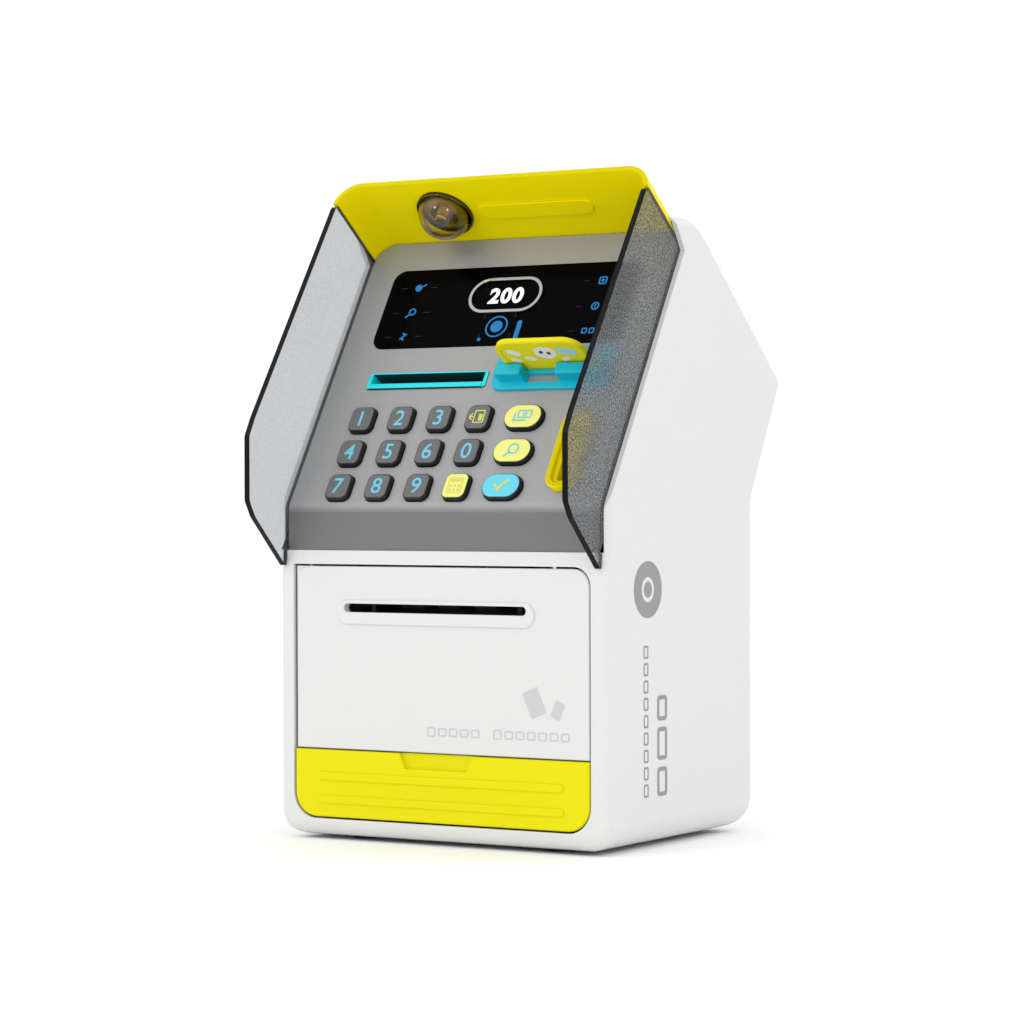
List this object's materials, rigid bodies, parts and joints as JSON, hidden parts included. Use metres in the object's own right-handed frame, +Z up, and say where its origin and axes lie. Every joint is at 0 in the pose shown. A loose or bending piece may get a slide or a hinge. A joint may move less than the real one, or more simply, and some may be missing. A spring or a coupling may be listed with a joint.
{
  "type": "toy savings bank",
  "caption": "Desktop toy cash machine money bank: hooded sloping keypad, screen, note feed, card slot, coin slot, hinged cash door and pull-out coin drawer.",
  "frame": {"origin": "middle of the footprint's bounding box, on the table", "axes": "+Z up, front faces -Y, +X to the viewer's right"},
  "size_m": [0.155, 0.175, 0.27],
  "materials": {
    "white_shell": "satin white ABS",
    "grey_base": "matt",
    "rubber": "matt",
    "steel": "plated",
    "black_frame": "matt",
    "cell_sleeve": "printed sleeve",
    "grey_fascia": "satin metallic grey",
    "black_window": "high gloss",
    "chrome_trim": "polished",
    "circuit_board": "solder mask",
    "cyan_trim": "satin",
    "cyan_inlet": "satin, dark roof inside",
    "yellow_shell": "satin",
    "drawer_yellow": "satin",
    "membrane": "matt",
    "smoked_panel": "frosted smoke",
    "smoked_panel_dark": "frosted smoke, coarser grain",
    "dark_chrome": "polished",
    "smoked_lens": "clear smoke",
    "lamp": "gloss",
    "card_yellow": "gloss print",
    "roller_rubber": "matt",
    "brass": "machined",
    "grey_key": "satin",
    "pale_key": "satin",
    "cyan_key": "satin"
  },
  "bodies": {
    "chassis": {"main_housing": "white_shell", "base_plate": "grey_base", "rubber_feet": "rubber", "base_screws": "steel", "rear_cover": "white_shell", "rear_cover_screws": "steel", "battery_door": "white_shell", "battery_door_screw": "steel", "battery_box": "black_frame", "batteries": "cell_sleeve", "battery_contacts": "steel", "fascia_panel": "grey_fascia", "screen_window": "black_window", "display_bezel": "chrome_trim", "display_board": "circuit_board", "note_inlet": "cyan_inlet", "card_holder": "cyan_trim", "card_sleeve": "black_frame", "coin_slot_bezel": "yellow_shell", "coin_chute": "black_frame", "keypad_membrane": "membrane", "keypad_board": "circuit_board", "visor_hood": "yellow_shell", "side_panel_left": "smoked_panel", "side_panel_right": "smoked_panel_dark", "dome_bezel": "dark_chrome", "dome_lens": "smoked_lens", "dome_lamp": "lamp", "drawer_rails": "white_shell", "divider_shelf": "white_shell", "lock_case": "black_frame", "feed_frame": "black_frame", "feed_motor": "steel", "dispenser_frame": "black_frame", "speaker": "black_frame"},
    "door": {"cash_door": "white_shell", "door_hinge_pins": "steel"},
    "drawer": {"drawer_front": "drawer_yellow", "drawer_tray": "drawer_yellow"},
    "card": {"bank_card": "card_yellow"},
    "bolt": {"lock_bolt": "steel"},
    "drive": {"note_drive_roller": "roller_rubber"},
    "idler": {"note_idler_roller": "roller_rubber"},
    "pinion": {"motor_pinion": "brass"},
    "dispenser": {"dispense_roller": "roller_rubber"},
    "key_1": {"key_1": "grey_key"},
    "key_2": {"key_2": "grey_key"},
    "key_3": {"key_3": "grey_key"},
    "key_exit": {"key_exit": "grey_key"},
    "key_4": {"key_4": "grey_key"},
    "key_5": {"key_5": "grey_key"},
    "key_6": {"key_6": "grey_key"},
    "key_0": {"key_0": "grey_key"},
    "key_7": {"key_7": "grey_key"},
    "key_8": {"key_8": "grey_key"},
    "key_9": {"key_9": "grey_key"},
    "key_menu": {"key_menu": "pale_key"},
    "key_transfer": {"key_transfer": "pale_key"},
    "key_search": {"key_search": "pale_key"},
    "key_confirm": {"key_confirm": "cyan_key"}
  },
  "joints": [
    {"name": "door_hinge", "type": "hinge", "parent": "chassis", "child": "door", "pos_m": [-0.0645, -0.0564, 0.075], "axis": [0, 0, -1], "range_deg": [0, 90]},
    {"name": "drawer_slide", "type": "slide", "parent": "chassis", "child": "drawer", "axis": [0, -1, 0], "range_m": [0, 0.07]},
    {"name": "card_slide", "type": "slide", "parent": "chassis", "child": "card", "axis": [0, -0.8542, 0.52], "range_m": [0, 0.03]},
    {"name": "bolt_slide", "type": "slide", "parent": "chassis", "child": "bolt", "axis": [-1, 0, 0], "range_m": [0, 0.0034]},
    {"name": "drive_spin", "type": "hinge", "parent": "chassis", "child": "drive", "pos_m": [0, -0.01502, 0.17293], "axis": [1, 0, 0], "continuous": true},
    {"name": "idler_spin", "type": "hinge", "parent": "chassis", "child": "idler", "pos_m": [0, -0.01013, 0.18096], "axis": [1, 0, 0], "continuous": true},
    {"name": "pinion_spin", "type": "hinge", "parent": "chassis", "child": "pinion", "pos_m": [0, -0.00596, 0.16742], "axis": [1, 0, 0], "continuous": true},
    {"name": "dispenser_spin", "type": "hinge", "parent": "chassis", "child": "dispenser", "pos_m": [0, -0.0486, 0.0979], "axis": [1, 0, 0], "continuous": true},
    {"name": "key_1_press", "type": "slide", "parent": "chassis", "child": "key_1", "axis": [0, 0.8542, -0.52], "range_m": [0, 0.0012], "stiffness_N_per_m": 250},
    {"name": "key_2_press", "type": "slide", "parent": "chassis", "child": "key_2", "axis": [0, 0.8542, -0.52], "range_m": [0, 0.0012], "stiffness_N_per_m": 250},
    {"name": "key_3_press", "type": "slide", "parent": "chassis", "child": "key_3", "axis": [0, 0.8542, -0.52], "range_m": [0, 0.0012], "stiffness_N_per_m": 250},
    {"name": "key_exit_press", "type": "slide", "parent": "chassis", "child": "key_exit", "axis": [0, 0.8542, -0.52], "range_m": [0, 0.0012], "stiffness_N_per_m": 250},
    {"name": "key_4_press", "type": "slide", "parent": "chassis", "child": "key_4", "axis": [0, 0.8542, -0.52], "range_m": [0, 0.0012], "stiffness_N_per_m": 250},
    {"name": "key_5_press", "type": "slide", "parent": "chassis", "child": "key_5", "axis": [0, 0.8542, -0.52], "range_m": [0, 0.0012], "stiffness_N_per_m": 250},
    {"name": "key_6_press", "type": "slide", "parent": "chassis", "child": "key_6", "axis": [0, 0.8542, -0.52], "range_m": [0, 0.0012], "stiffness_N_per_m": 250},
    {"name": "key_0_press", "type": "slide", "parent": "chassis", "child": "key_0", "axis": [0, 0.8542, -0.52], "range_m": [0, 0.0012], "stiffness_N_per_m": 250},
    {"name": "key_7_press", "type": "slide", "parent": "chassis", "child": "key_7", "axis": [0, 0.8542, -0.52], "range_m": [0, 0.0012], "stiffness_N_per_m": 250},
    {"name": "key_8_press", "type": "slide", "parent": "chassis", "child": "key_8", "axis": [0, 0.8542, -0.52], "range_m": [0, 0.0012], "stiffness_N_per_m": 250},
    {"name": "key_9_press", "type": "slide", "parent": "chassis", "child": "key_9", "axis": [0, 0.8542, -0.52], "range_m": [0, 0.0012], "stiffness_N_per_m": 250},
    {"name": "key_menu_press", "type": "slide", "parent": "chassis", "child": "key_menu", "axis": [0, 0.8542, -0.52], "range_m": [0, 0.0012], "stiffness_N_per_m": 250},
    {"name": "key_transfer_press", "type": "slide", "parent": "chassis", "child": "key_transfer", "axis": [0, 0.8542, -0.52], "range_m": [0, 0.0012], "stiffness_N_per_m": 250},
    {"name": "key_search_press", "type": "slide", "parent": "chassis", "child": "key_search", "axis": [0, 0.8542, -0.52], "range_m": [0, 0.0012], "stiffness_N_per_m": 250},
    {"name": "key_confirm_press", "type": "slide", "parent": "chassis", "child": "key_confirm", "axis": [0, 0.8542, -0.52], "range_m": [0, 0.0012], "stiffness_N_per_m": 250}
  ],
  "couplings": [
    {"joint": "pinion_spin", "follows": "drive_spin", "ratio": -2},
    {"joint": "idler_spin", "follows": "drive_spin", "ratio": -1}
  ]
}
